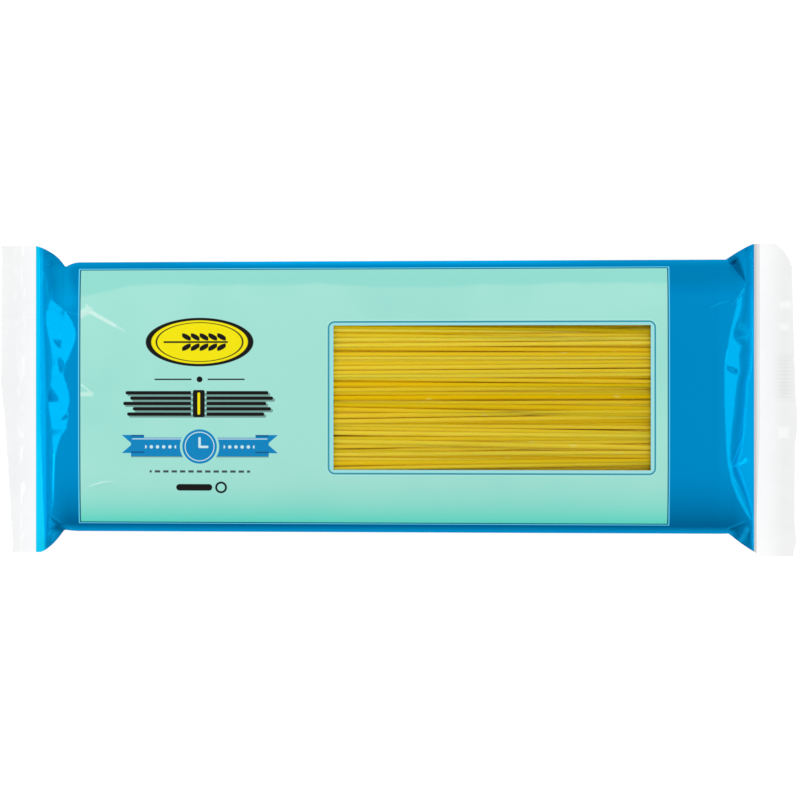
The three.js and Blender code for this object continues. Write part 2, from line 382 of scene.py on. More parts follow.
# Each row says, for one y, how far from the packet's middle the film changes its slope on the
# way from a seal to the top: the strip beside the seal ends, the lit slope begins, and it ends.
# The rows were read off the photograph, where the light on the film changes.
endRows = {
    "left": [
        (60.1, 140.2, 135.3, 135.3), (39.6, 139.6, 135.3, 135.3), (38.4, 139.6, 136.2, 134.4),
        (37.8, 139.6, 136.7, 133.8), (34.7, 139.6, 137.7, 129.9), (30.8, 139.6, 138.0, 127.5),
        (26.5, 139.5, 137.3, 125.8), (23.4, 139.5, 136.6, 126.2), (20.7, 139.5, 136.0, 127.0),
        (16.4, 139.5, 135.6, 128.8), (12.5, 139.5, 135.4, 131.0), (9.8, 139.4, 135.6, 130.9),
        (7.0, 139.4, 135.9, 129.9), (3.5, 139.4, 136.4, 128.8), (0.0, 139.3, 137.0, 128.4),
        (-4.3, 139.3, 136.5, 129.2), (-7.5, 139.2, 136.0, 129.3), (-10.9, 139.1, 135.5, 129.5),
        (-14.0, 139.0, 135.1, 131.8), (-17.6, 138.9, 135.1, 133.0), (-21.4, 138.8, 134.9, 133.9),
        (-24.2, 138.8, 134.9, 134.2), (-40.2, 138.4, 135.3, 134.7), (-42.9, 138.3, 135.1, 135.1),
        (-59.3, 138.1, 135.3, 135.3)],
    "right": [
        (60.8, 137.7, 134.6, 134.6), (44.5, 137.5, 134.6, 134.6), (42.9, 137.3, 134.4, 133.8),
        (38.2, 137.3, 133.6, 132.0), (35.9, 137.3, 133.4, 131.2), (32.4, 137.3, 132.6, 130.5),
        (26.5, 137.3, 130.2, 129.1), (24.2, 137.3, 130.3, 128.6), (21.4, 137.2, 133.2, 128.3),
        (19.9, 137.2, 133.4, 127.7), (17.2, 137.1, 132.6, 127.1), (11.3, 136.5, 133.0, 126.8),
        (6.2, 135.3, 131.8, 126.8), (0.0, 135.1, 131.0, 126.8), (-5.5, 134.6, 130.6, 127.0),
        (-12.5, 134.2, 129.5, 127.3), (-19.1, 133.2, 129.1, 127.5), (-23.4, 132.0, 129.2, 127.9),
        (-26.0, 131.6, 129.4, 128.2), (-29.2, 133.0, 130.3, 129.1), (-36.7, 135.7, 134.0, 132.4),
        (-43.7, 137.5, 136.5, 135.9), (-46.8, 137.9, 136.9, 136.9), (-61.2, 138.1, 136.9, 136.9)],
}
endSlope = {
    "seal": {"left": 141.6, "right": 138.5},
    "top": 124.2,
    "inward": 1.0,          # the lit slope reaches this much past its row
    "strip": {"left": 0.5, "right": 0.6},
    "lit": 0.75,
    "low": 0.28,
    "bend": 0.35,           # half the length over which the slope changes
    "topBend": 1.2,
}


def rampFrom(distance, start, half):
    # zero before start, then rising one to one, with a rounded corner
    reach = distance - start
    rounded = (reach + half) ** 2 / (4 * half)
    return np.where(reach <= -half, 0.0, np.where(reach >= half, reach, rounded))


def frontFallen(x, y):
    # how far the front sheet has come down from the crown, from 0 to 1, at the two ends
    drop = packet["height"] - packet["finHeight"]
    result = np.zeros(x.shape)
    for side, here in (("left", x < 0), ("right", x >= 0)):
        rows = np.array(endRows[side])[::-1]
        strip, outer, inner = [np.interp(y, rows[:, 0], rows[:, k]) for k in (1, 2, 3)]
        inner = inner - endSlope["inward"] * share(outer - inner, 0.0, 0.6)
        seal, top = endSlope["seal"][side], endSlope["top"]
        stripSlope = endSlope["strip"][side]
        lit, low = endSlope["lit"], endSlope["low"]
        rest = drop - stripSlope * (seal - strip) - lit * (outer - inner) - low * (inner - top)
        steep = rest / (strip - outer)
        inward = seal - np.abs(x)
        bend = endSlope["bend"]
        z = (stripSlope * rampFrom(inward, 0.0, bend)
             + (steep - stripSlope) * rampFrom(inward, seal - strip, bend)
             + (lit - steep) * rampFrom(inward, seal - outer, bend)
             + (low - lit) * rampFrom(inward, seal - inner, bend)
             - low * rampFrom(inward, seal - top, endSlope["topBend"]))
        result = np.where(here, 1 - z / drop, result)
    return np.clip(result, 0.0, 1.0)


creases = [
    # from x, y to x, y, half width, height
    (-124.4, 33.2, -119.7, 35.5, 1.5, 0.3),
    (-119.3, 34.3, -106.5, 26.9, 1.0, 0.25),
    (-123.0, 5.9, -119.0, 3.1, 1.2, 0.3),
    (-120.1, -33.5, -110.8, -31.6, 0.8, 0.2),
    (120.0, 36.1, 128.3, 38.6, 0.7, 0.2),
    (129.5, 37.0, 134.0, 42.9, 0.7, 0.3),
    (127.4, 12.7, 131.4, 10.7, 0.6, -0.8),
    (129.1, -26.2, 134.6, -7.0, 0.6, 0.3),
    (129.1, -26.2, 135.4, -23.0, 0.7, 0.4),
    (128.4, -51.2, 136.6, -46.8, 0.6, 0.4),
]
dents = [
    # a folded-in triangle: its point, the two ends of its open edge, depth
    ((-135.7, 4.7), (-137.6, -0.1), (-131.9, -0.1), 2.3),
    ((-134.8, 23.8), (-131.3, 22.8), (-132.1, 20.5), 0.9),
    ((-132.8, 17.0), (-129.0, 13.0), (-131.2, 10.5), 1.0),
    ((-135.6, 38.8), (-137.4, 53.0), (-134.2, 53.0), 1.3),
    ((134.9, 45.2), (127.8, 52.6), (132.0, 55.4), 2.3),
    ((-131.7, -7.8), (-128.3, -5.1), (-128.3, -8.4), 0.6),
]


def dentDepth(x, y):
    total = np.zeros(x.shape)
    for (ax, ay), (px, py), (qx, qy), depth in dents:
        area = (px - ax) * (qy - ay) - (qx - ax) * (py - ay)
        toP = ((x - ax) * (qy - ay) - (qx - ax) * (y - ay)) / area
        toQ = ((px - ax) * (y - ay) - (x - ax) * (py - ay)) / area
        inside = (toP > 0) & (toQ > 0) & (toP + toQ < 1)
        total += np.where(inside, depth * 2 * np.minimum(toP, toQ), 0.0)
    return total


def creaseHeight(x, y):
    total = np.zeros(x.shape)
    for x0, y0, x1, y1, half, height in creases:
        dx, dy = x1 - x0, y1 - y0
        along = ((x - x0) * dx + (y - y0) * dy) / (dx * dx + dy * dy)
        held = np.clip(along, 0, 1)
        distance = np.hypot(x - x0 - held * dx, y - y0 - held * dy)
        taper = np.clip(np.minimum(held, 1 - held) * 5, 0, 1)    # the first and last fifth fade
        total += height * taper * np.maximum(0, 1 - distance / half)
    return total


finWaves = {"height": 0.05, "from": 142, "full": 146}
finCrimps = {"height": 0.04, "perMm": 4.4, "middle": 10, "halfWidth": 9}


def finRelief(x, y):
    # low waves and crimps in the clear fins
    reach = share(np.abs(x), finWaves["from"], finWaves["full"])
    waves = finWaves["height"] * np.sin(y / 3.1 + 2 * np.sin(x / 5.3)) * reach
    nearby = np.clip(1 - np.abs(y - finCrimps["middle"]) / finCrimps["halfWidth"], 0, 1)
    crimps = finCrimps["height"] * np.sin(y * finCrimps["perMm"]) * nearby * (x > finWaves["full"])
    return waves + crimps


def finLift(x, y):
    # the fins sway a little along y and droop outwards, the left one more at its near corner
    reach = np.maximum(0, np.abs(x) - packet["sealLine"] + 2)
    curl = 0.003 * reach ** 2 * smoothShare(-y, -5, 60)
    left = np.sin(y / 11.5 + 0.6) * 0.045 * reach - 0.010 * reach ** 2 - curl
    right = np.sin(y / 9.3 + 2.1) * 0.05 * reach - 0.008 * reach ** 2
    return np.where(x < 0, left, right)


def bodyWaves(x, y):
    # the film isn't quite flat over the strands
    swell = np.sin(x / 23.0 + 0.6) * np.sin(y / 17.0 + 0.9) + 0.6 * np.sin(x / 11.0 + y / 9.0)
    return 0.12 * swell * share(125.0 - np.abs(x), 0, 20)


def seamStep(y):
    # the lengthwise seam lies flat under the back, and the film beside it is clear of the floor
    away = np.abs(y - packet["offset"]) - packet["seamHalfWidth"]
    return packet["seamStep"] * share(away, 0.0, packet["seamEdge"])


def filmPoints(x, turn):
    across = np.interp(turn, sectionTurn, sectionAcross)
    height = np.interp(turn, sectionTurn, sectionHeight)
    flatAcross = np.where(turn < 0.5, 1 - 4 * turn, 4 * turn - 3)
    sheet = np.sin(turn * 2 * math.pi)
    sheet = np.sign(sheet) * np.minimum(1, np.abs(sheet) * 8)
    crown = packet["height"] / 2
    fallenBack = fallenAt(x)
    y = filmY(x, across, flatAcross)
    front = smoothShare(height, 0.0, 0.35)
    fallen = mix(fallenBack, frontFallen(x, y), front)
    middle = mix(crown, packet["finHeight"], fallen)
    swell = crown * height * (1 - fallen)
    pressed = np.where(height < 0, packet["pressedIn"] * (1 - fallen), 0)
    z = middle + swell + packet["sheetGap"] / 2 * sheet * fallen - pressed + finLift(x, y) * fallenBack
    z = z + (creaseHeight(x, y) - dentDepth(x, y) + bodyWaves(x, y)) * front
    return y, np.maximum(seamStep(y), z)


def stations():
    # positions along the packet, close together where the film is creased or falls to the fins
    leftTo, leftRows = filmGrid["left"]
    rightFrom, rightRows = filmGrid["right"]
    xs = np.concatenate([np.linspace(-packet["flatFrom"], leftTo, leftRows),
                         np.linspace(*filmGrid["body"]),
                         np.linspace(rightFrom, packet["flatFrom"], rightRows)])
    for wanted in (windowPane["left"], windowPane["right"], printEnds["left"], printEnds["right"]):
        xs[np.argmin(np.abs(xs - wanted))] = wanted
    return xs


def turns():
    # positions round the film, twice as close on the front as on the back
    halves = [np.arange(filmGrid[side]) / (2 * filmGrid[side]) for side in ("frontColumns", "backColumns")]
    ts = np.concatenate([halves[0], 0.5 + halves[1]])
    for wanted in (turnAt(windowPane["near"]), turnAt(windowPane["far"])):
        ts[np.argmin(np.abs(ts - wanted))] = wanted
    return ts


def makeFilmGrid():
    # rows along the packet and columns round it, the two fins' rows added at the ends
    ts = turns()
    x, turn = np.meshgrid(stations(), ts, indexing="ij")
    body = np.stack([x, *filmPoints(x, turn)], axis=2)
    fins = {}
    for side, row in (("left", 0), ("right", -1)):
        edgeY, edgeX = zip(*packet["finEdges"][side])
        baseX, baseY, baseZ = body[row].T
        edge = np.interp(baseY, edgeY, edgeX)
        strip = []
        for step in np.linspace(0, 1, filmGrid["finRows"] + 1)[1:]:
            x = mix(baseX, edge, step)
            z = baseZ + finLift(x, baseY) - finLift(baseX, baseY) + finRelief(x, baseY)
            strip.append(np.stack([x, baseY, z], axis=1))
        fins[side] = np.array(strip)
    return np.concatenate([fins["left"][::-1], body, fins["right"]]), ts


grid, ts = makeFilmGrid()
print("film grid", grid.shape)


def makeFilm():
    count, around = grid.shape[:2]
    points = grid.reshape(-1, 3) * mm
    index = np.arange(count * around).reshape(count, around)
    a = index[:-1]
    b = np.roll(index, -1, axis=1)[:-1]
    c = np.roll(index, -1, axis=1)[1:]
    d = index[1:]
    quads = np.stack([a, b, c, d], axis=2).reshape(-1, 4)
    faces = [tuple(int(i) for i in q) for q in quads]
    for row, flip in ((0, False), (count - 1, True)):
        # the fins' open edges are closed between the front sheet and the back one
        for i in range(filmGrid["backColumns"]):
            front = [2 * i, 2 * i + 1, 2 * i + 2]
            back = [(around - i) % around, around - 1 - i]
            ring = [index[row, k] for k in (back[0], back[1], *front[::-1])]
            ring = list(dict.fromkeys(int(k) for k in ring))
            faces.append(tuple(ring[::-1] if flip else ring))
    film = meshPiece("printedFilm", points, faces)
    mesh = film.data
    # the two folds that run the whole length are sharp beside the seals
    sharp = []
    for edge in mesh.edges:
        p, q = edge.vertices
        onFold = p % around == q % around and p % around in (0, filmGrid["frontColumns"])
        sharp.append(bool(onFold and abs(points[p][0]) > packet["sharpFrom"] * mm))
    mesh.edges.foreach_set("use_edge_sharp", sharp)
    # film coordinates, unrolled into the unit square
    uv = mesh.uv_layers.new(name="OFBake")
    columns = np.concatenate([ts, [1.0]])
    lengthwise = (grid[:, :, 0] - unrolled["start"]) / unrolled["length"]
    coords = np.zeros((len(mesh.loops), 2))
    loop = 0
    for polygon in mesh.polygons:
        vs = list(polygon.vertices)
        cols = [v % around for v in vs]
        wraps = (around - 1) in cols and 0 in cols and polygon.index < len(quads)
        for v, col in zip(vs, cols):
            row = v // around
            c = columns[around] if (wraps and col == 0) else columns[col]
            coords[loop] = (lengthwise[row, col], c)
            loop += 1
    uv.data.foreach_set("uv", coords.ravel())
    return film, len(quads)


film, quadCount = makeFilm()


def storeShades():
    # how far each point of the front lies in the strip beside a seal, which gets painted light, and how far
    # in the hollow between that strip and the lit slope, which gets painted shade
    x, y = grid[:, :, 0], grid[:, :, 1]
    reach = np.abs(x)
    strip, hollow = np.zeros(x.shape), np.zeros(x.shape)
    for side, here in (("left", x < 0), ("right", x >= 0)):
        rows = np.array(endRows[side])[::-1]
        stripEnd, outer = [np.interp(y, rows[:, 0], rows[:, k]) for k in (1, 2)]
        strip = np.where(here, smoothShare(reach, stripEnd - 0.7, stripEnd + 0.1), strip)
        t = (stripEnd - reach) / np.maximum(stripEnd - outer, 0.5)
        inside = smoothShare(t, 0.25, 0.55) * (1 - smoothShare(t, 0.85, 1.1))
        hollow = np.where(here, inside, hollow)
    front = ts[np.newaxis, :] < 0.5
    for name, shade in (("strip", strip * front), ("hollow", hollow * front)):
        attribute = film.data.attributes.new(name, "FLOAT", "POINT")
        attribute.data.foreach_set("value", shade.ravel())


storeShades()


# Film finishes

inks = {
    "blue": srgb(0, 137, 202),
    # painted shade and painted light on the blue film: shade at the far and the near side, light beside the
    # seals, highlights, light on the rims, and shade and light on the creases
    "paintedShadeBlue": srgb(0, 124, 184),
    "paintedNearShadeBlue": srgb(0, 102, 158),
    "paintedSealLight": srgb(8, 197, 240),
    "paintedSealLightNear": srgb(18, 209, 249),
    "strip": srgb(2, 164, 228),
    "paintedHighlight": srgb(0, 180, 244),
    "paintedBandLight": srgb(0, 164, 226),
    "paintedNearRimLight": srgb(2, 146, 212),
    "paintedFarRimLight": srgb(2, 164, 232),
    "paintedCreaseShade": srgb(0, 74, 126),
    "paintedCreaseLight": srgb(12, 160, 222),
    "mint": srgb(171, 237, 223),
    # painted shade on the mint panel, and painted highlights on its creases
    "paintedShadeMint": srgb(152, 229, 216),
    "paintedNearShadeMint": srgb(100, 230, 209),
    "paintedMintHighlight": srgb(216, 252, 242),
    "lightLine": srgb(104, 216, 250),
    "darkLine": srgb(0, 74, 108),
    "windowLine": srgb(56, 158, 178),
    "windowBand": srgb(164, 234, 234),
    "windowGlow": srgb(186, 246, 236),
    "yellow": srgb(255, 240, 0),
    "black": srgb(14, 12, 12),
    "shade": srgb(120, 165, 158),
    "ribbon": srgb(0, 138, 200),
    "ribbonDark": srgb(0, 96, 150),
    "pale": srgb(214, 244, 250),
    "grey": srgb(70, 84, 84),
}

# painted highlights along the creases on the mint panel
paintedHighlightCreases = [
    # from x, y to x, y, half width at each end, softness, strength
    (-124.4, 32.6, -120.3, 34.9, 1.3, 1.4, 1.0, 0.75),
    (-121.3, 37.0, -119.7, 34.1, 0.3, 0.9, 0.4, 0.75),
    (-119.6, 34.2, -110.2, 28.9, 0.8, 0.65, 0.35, 0.85),
    (-110.2, 28.9, -106.6, 26.9, 0.5, 0.3, 0.9, 0.5),
    (-123.1, 5.9, -119.2, 3.0, 0.25, 0.3, 0.3, 0.7),
    (-119.4, 2.4, -124.0, 2.2, 0.9, 0.7, 0.8, 0.7),
    (-120.2, -33.5, -115.0, -31.8, 0.1, 0.22, 0.3, 1.0),
    (-115.0, -31.8, -110.8, -31.6, 0.2, 0.12, 0.4, 0.6),
]
# painted shade along the folds and fans in the corners
paintedShadeLines = [
    # the fan in the near left corner
    (-131.3, -50.4, -133.4, -49.0, 1.1, 0.5, 1.4, 0.85),
    (-132.0, -48.6, -136.4, -45.0, 0.45, 0.15, 0.5, 0.7),
    (-136.4, -45.0, -137.4, -50.0, 0.25, 0.3, 0.6, 0.5),
    (-137.4, -50.0, -137.6, -57.5, 0.35, 0.5, 0.7, 0.5),
    (-132.6, -49.8, -136.9, -50.1, 0.4, 0.05, 0.5, 0.5),
    (-132.6, -50.3, -136.4, -53.2, 0.4, 0.05, 0.5, 0.45),
    # the folds in the far corners
    (-136.0, 53.5, -135.7, 40.0, 1.1, 0.2, 1.2, 0.5),
    (130.4, 54.0, 134.9, 45.6, 2.2, 0.1, 1.0, 0.7),
    (129.6, 51.5, 133.4, 47.0, 1.2, 0.3, 1.6, 0.4),
    # the fan in the near right corner
    (129.0, -50.4, 134.5, -48.2, 0.7, 0.2, 0.9, 0.5),
    (129.7, -50.5, 131.2, -50.2, 0.6, 0.6, 1.2, 0.6),
    (131.0, -50.6, 132.8, -53.6, 0.5, 0.3, 0.6, 0.55),
    (137.0, -49.0, 136.1, -56.0, 0.5, 0.6, 0.8, 0.5),
]
# painted light on facets and thin lines beside the corners' folds
paintedLightLines = [
    (-131.6, -47.2, -136.0, -44.2, 0.15, 0.15, 0.4, 0.5),
    (-134.4, -52.0, -136.0, -55.6, 1.1, 1.0, 1.4, 0.7),
    (-134.0, -48.6, -136.2, -47.6, 0.3, 0.6, 0.8, 0.5),
    (-129.0, 34.3, -124.4, 33.2, 0.2, 0.5, 0.8, 0.5),
    (120.7, 35.9, 124.5, 37.6, 0.1, 0.25, 0.5, 0.9),
    (124.5, 37.6, 127.7, 38.3, 0.25, 0.15, 0.5, 0.9),
    (129.3, 36.9, 134.0, 43.1, 0.15, 0.3, 0.4, 0.8),
    (126.3, 14.6, 127.6, 19.4, 0.12, 0.12, 0.4, 0.7),
    (127.9, -49.9, 134.3, -47.2, 0.2, 0.1, 0.5, 0.8),
    (135.4, -50.4, 133.4, -54.6, 1.0, 0.9, 0.9, 0.75),
]
# painted highlights along the edges of the lit slopes at the ends, and a broad painted light patch at the
# left far corner
paintedHighlightLines = [
    (128.4, -29.0, 129.5, -32.0, 0.1, 0.5, 0.4, 0.8),
    (129.5, -32.0, 132.2, -38.0, 0.5, 0.85, 0.5, 0.8),
    (132.2, -38.0, 135.4, -44.3, 0.85, 0.45, 0.5, 0.8),
    (135.4, -44.3, 136.9, -46.4, 0.45, 0.1, 0.4, 0.8),
    (128.9, -26.4, 133.2, -24.4, 0.15, 0.6, 0.6, 0.6),
    (133.2, -24.4, 136.0, -23.6, 0.6, 0.8, 1.2, 0.5),
    (128.9, -26.0, 134.2, -14.5, 0.15, 0.3, 0.4, 0.7),
    (134.2, -14.5, 134.6, -3.0, 0.25, 0.15, 0.4, 0.6),
    (-134.0, -21.0, -134.2, -36.0, 0.4, 0.3, 0.35, 0.8),
    (-134.2, -36.0, -134.4, -41.5, 0.3, 0.05, 0.3, 0.8),
    (-131.0, 50.0, -128.6, 38.5, 2.4, 3.2, 3.0, 0.3),
]


def filmCoordinates(finish):
    uv = finish.node("ShaderNodeUVMap", {"uv_map": "OFBake"})
    u, v, _ = finish.axes(uv)
    return u * unrolled["length"] + unrolled["start"], (0.25 - v) * girth


printing = {
    # the panel's and the window's left, right, low and high edge, and lines at a distance round them
    "panel": (-123.5, 104.15, -47.65, 50.8),
    "panelLines": (("lightLine", 0.87), ("darkLine", 0.43)),
    "window": (-25.8, 97.85, -27.1, 28.8),
    "windowCorner": 0.9,
    "windowLines": (("windowGlow", 2.2), ("windowLine", 1.87), ("windowBand", 1.17)),
    # a bar is its middle's x and y, width, height and corner radius; a disc is x, y and radius;
    # a line is how far it lies from an edge, and its width
    "badge": {"middle": (-77.3, 22.6), "half": (20.9, 9.5), "rim": 1.0, "line": (-1.9, 0.3)},
    "ear": {"pitch": 3.4, "away": 2.0, "grain": (2.35, 0.95), "lean": (0.86, 0.5),
            "shift": 1.7, "halfLength": 8.5, "stem": (-78.8, 22.6, 25.0, 0.7, 0.3)},
    "rule": {"bars": ((-87.6, 8.05, 14.4, 0.55, 0.25), (-67.0, 8.05, 14.4, 0.55, 0.25)),
             "dot": (-77.3, 8.05, 1.15)},
    "bundle": {"ends": ((-106.0, -50.6), (-104.2, -48.8), (-106.9, -51.4), (-103.2, -49.6),
                        (-105.4, -52.2)),
               "top": 2.8, "step": 2.08, "thick": 1.35, "round": 0.65, "shadow": (0.75, -0.7),
               "tie": (-77.6, -1.4, 4.6, 10.6, 0.7), "gap": 0.7, "tieLine": (-77.6, -1.4, 1.0, 8.6, 0.4)},
    "ribbon": {"middle": (-77.2, -17.2), "half": 30.4, "cleft": (4.2, 1.15), "tailHalf": 3.55,
               "tailFrom": 21.6, "foldTo": 26.7, "foldFrom": 2.9, "line": (2.0, 0.17, 26.2),
               "band": (-77.2, -18.35, 53.4, 7.3, 0.1), "shadow": 0.4},
    "clock": {"face": (-77.3, -18.15, 6.7), "gap": 0.9, "line": (-1.1, 0.34),
              "hands": ((-77.3, -16.6, 0.95, 4.2, 0.4), (-75.8, -18.3, 3.8, 0.95, 0.4))},
    "beads": {"from": 8.0, "pitch": 2.4, "drop": 1.1, "radius": 0.66, "middle": 15.2, "half": 6.0},
    "dashes": {"middle": (-77.2, -27.9), "shift": 60.305, "pitch": 3.25, "half": (1.05, 0.45), "span": 19.5},
    "marks": {"bar": (-79.4, -34.1, 14.0, 2.6, 1.3), "ring": (-69.0, -34.1, 2.3), "line": (-0.4, 0.8)},
}


def printedFilm():
    f = Finish("printedFilm")
    along, across = filmCoordinates(f)

    packetX, packetY = [axis * 1000.0 for axis in f.axes(f.objectPlace())[:2]]
    onFront = (0.5 - (abs(across) - girth / 4)).clamped()

    def place(x, y):
        # coordinates about one point of the printed front
        return along - x, across - printPosition(y)

    def roundBox(da, db, halfWidth, halfHeight, radius):
        # distance to a box's edge, negative inside
        da = abs(da) - (halfWidth - radius)
        db = abs(db) - (halfHeight - radius)
        outside = (da.most(0) ** 2 + db.most(0) ** 2).root()
        return outside + da.most(db).least(0) - radius

    def bar(x, y, width, height, radius):
        return roundBox(*place(x, y), width / 2, height / 2, radius)

    def frameAbout(left, right, low, high):
        # coordinates about a frame's middle, and its half sizes
        bottom, top = printPosition(low), printPosition(high)
        return (along - (left + right) / 2, across - (bottom + top) / 2,
                (right - left) / 2, (top - bottom) / 2)

    def disc(x, y, radius):
        da, db = place(x, y)
        return (da ** 2 + db ** 2).root() - radius

    def oval(da, db, halfWidth, halfHeight):
        return ((da / halfWidth) ** 2 + (db / halfHeight) ** 2).root() - 1.0

    def filled(distance, soft=0.16):
        return (0.5 - distance / soft).clamped()

    def outline(distance, at, width):
        return filled(abs(distance - at) - width / 2)

    def joined(shapes):
        shape, *others = shapes
        for other in others:
            shape = shape.least(other)
        return filled(shape)

    def paint(under, *layers):
        for ink, mask in layers:
            under = f.colours(under, inks[ink] if isinstance(ink, str) else ink, mask)
        return under

    def linesRound(edge, lines):
        return [(ink, filled(edge - outwards)) for ink, outwards in lines]

    def ramp(low, high, fromY, toY, value=across):
        return f.spread(value, low, high, printPosition(fromY), printPosition(toY))

    def streak(x0, y0, x1, y1, startHalf, endHalf, soft, strength):
        # a thin line from one point of the front to another
        da, db = packetX - x0, packetY - y0
        run, rise = x1 - x0, y1 - y0
        t = ((da * run + db * rise) / (run ** 2 + rise ** 2)).clamped()
        away = ((da - t * run) ** 2 + (db - t * rise) ** 2).root()
        return filled(away - startHalf - t * (endHalf - startHalf), soft) * strength

    def streaks(lines):
        total = streak(*lines[0])
        for line in lines[1:]:
            total = total.most(streak(*line))
        return total

    # ground: blue film with painted shade at its near and its far side, painted light along the two rims,
    # and painted shade and painted light on the folds and facets at the corners
    drift = f.noise(f.objectPlace(), 22.0, 3.0)
    low = ramp(1.0, 0.0, -47.0, -26.0) ** 1.6
    low = low * f.spread(along, 0.1, 1.0, -135.0, -128.5) * f.spread(along, 1.0, 0.45, 130.0, 136.0)
    far = ramp(0.0, 1.0, 40.0, 47.0, across + (drift - 0.5) * 8.0)
    far = far * f.spread(along, 1.0, 0.2, 130.5, 134.5)
    onBody = f.spread(abs(along), 1.0, 0.0, 129.0, 131.0)
    paintedNearRimLight = ramp(1.0, 0.0, -50.8, -49.2) * onBody
    paintedFarRimLight = ramp(0.0, 1.0, 52.0, 53.4) * f.spread(abs(along + 5.0), 1.0, 0.3, 50.0, 90.0) * onBody
    colour = paint(inks["blue"], ("paintedShadeBlue", far), ("paintedNearShadeBlue", low), ("paintedNearRimLight", paintedNearRimLight),
                   ("paintedFarRimLight", paintedFarRimLight), ("paintedCreaseShade", streaks(paintedShadeLines) * onFront),
                   ("paintedCreaseLight", streaks(paintedLightLines) * onFront))

    # painted light beside the seals, where the film is single and lets light through: a light strip and a
    # lighter band inside it, painted shade in the hollow between the strip and the lit slope, and painted
    # highlights along slope edges
    strip, hollow = f.attribute("strip"), f.attribute("hollow")
    onRight = f.spread(along, 0.0, 1.0, 0.0, 1.0)
    stripEnd = ramp(-138.3, -140.1, -51.0, 0.0)
    bandEnd = ramp(-137.5, -138.7, 5.0, 42.0)
    paintedSealLightInk = f.colours(inks["paintedSealLight"], inks["paintedSealLightNear"], f.spread(across, 1.0, 0.0, -45.0, -10.0))
    colour = paint(colour, ("paintedShadeBlue", hollow * (0.7 + 0.25 * onRight)),
                   ("strip", strip * (0.3 + 0.6 * onRight) * f.spread(across, 1.0, 0.3, 35.0, 48.0)),
                   ("paintedBandLight", filled(along - bandEnd, 1.0) * 0.9),
                   (paintedSealLightInk, filled(along - stripEnd, 0.5)),
                   ("paintedHighlight", streaks(paintedHighlightLines) * onFront))

    # the mint panel, with painted shade at its near and its far side and in soft patches,
    # and painted highlights along its creases; then the window's frame
    da, db, halfWidth, halfHeight = frameAbout(*printing["panel"])
    panel = (abs(da) - halfWidth).most(abs(db) - halfHeight)
    window = roundBox(*frameAbout(*printing["window"]), printing["windowCorner"])
    sway = f.spread(along, 4.5, 0.0, -124.0, -104.0) + (drift - 0.5) * 7.0
    mint = paint(inks["mint"], ("paintedShadeMint", ramp(0.0, 1.0, 44.2, 45.6, across + sway)),
                 ("paintedShadeMint", f.spread(drift, 0.0, 0.45, 0.45, 0.7)),
                 ("paintedNearShadeMint", ramp(1.0, 0.0, -47.5, -26.0) ** 2.2),
                 ("paintedMintHighlight", streaks(paintedHighlightCreases)))
    onPanel = filled(panel)
    colour = paint(colour, *linesRound(panel, printing["panelLines"]), (mint, onPanel),
                   *linesRound(window, printing["windowLines"]))

    # badge: a yellow oval with an ear of wheat
    badge, ear = printing["badge"], printing["ear"]
    x, y = place(*badge["middle"])
    edge = oval(x, y, *badge["half"]) * badge["half"][1]
    step = (x + 12 * ear["pitch"]).modulo(ear["pitch"]) - ear["pitch"] / 2
    side = abs(y) - ear["away"]
    cosine, sine = ear["lean"]
    grain = oval(step * cosine - side * sine, step * sine + side * cosine, *ear["grain"])
    grains = filled(grain, 0.25) * filled(abs(x - ear["shift"]) - ear["halfLength"], 0.1)
    colour = paint(colour, ("black", filled(edge)), ("yellow", filled(edge + badge["rim"])),
                   ("black", outline(edge, *badge["line"])),
                   ("black", grains.most(filled(bar(*ear["stem"])))))

    # a thin rule with a dot
    rule = printing["rule"]
    colour = paint(colour, ("black", joined([*[bar(*each) for each in rule["bars"]], disc(*rule["dot"])])))

    # a bundle of strands, tied, with its shadow
    bundle = printing["bundle"]

    def strands(dx, dy):
        return joined([bar((left + right) / 2 + dx, bundle["top"] - bundle["step"] * row + dy,
                           right - left, bundle["thick"], bundle["round"])
                       for row, (left, right) in enumerate(bundle["ends"])])

    tie = bar(*bundle["tie"])
    colour = paint(colour, ("shade", strands(*bundle["shadow"])),
                   ("black", strands(0.0, 0.0) * (1.0 - filled(tie - bundle["gap"]))),
                   ("black", filled(tie)), ("yellow", filled(bar(*bundle["tieLine"]))))

    # a ribbon with a clock and beads
    ribbon, clock, beads = printing["ribbon"], printing["clock"], printing["beads"]
    x, y = place(*ribbon["middle"])
    depth, slope = ribbon["cleft"]
    cleft = ribbon["half"] - (depth - abs(y) * slope).most(0)
    tail = (abs(x) - cleft).most(abs(y) - ribbon["tailHalf"]).most(ribbon["tailFrom"] - abs(x))
    fold = tail.most(abs(x) - ribbon["foldTo"]).most(ribbon["foldFrom"] - abs(y))
    bandX, bandY, *bandSize = ribbon["band"]
    lineY, lineHalf, lineReach = ribbon["line"]
    face = disc(*clock["face"])
    da = (abs(x) - beads["from"]).modulo(beads["pitch"]) - beads["pitch"] / 2
    bead = filled((da ** 2 + (y + beads["drop"]) ** 2).root() - beads["radius"], 0.2)
    colour = paint(colour, ("shade", filled(bar(bandX, bandY - ribbon["shadow"], *bandSize))),
                   ("ribbon", filled(bar(bandX, bandY, *bandSize).least(tail))),
                   ("ribbonDark", filled(fold)),
                   ("pale", filled(abs(y - lineY) - lineHalf) * filled(abs(x) - lineReach)),
                   ("mint", filled(face - clock["gap"])), ("ribbon", filled(face)),
                   ("pale", outline(face, *clock["line"])),
                   ("pale", joined([bar(*hand) for hand in clock["hands"]])),
                   ("pale", bead * filled(abs(abs(x) - beads["middle"]) - beads["half"], 0.1)))

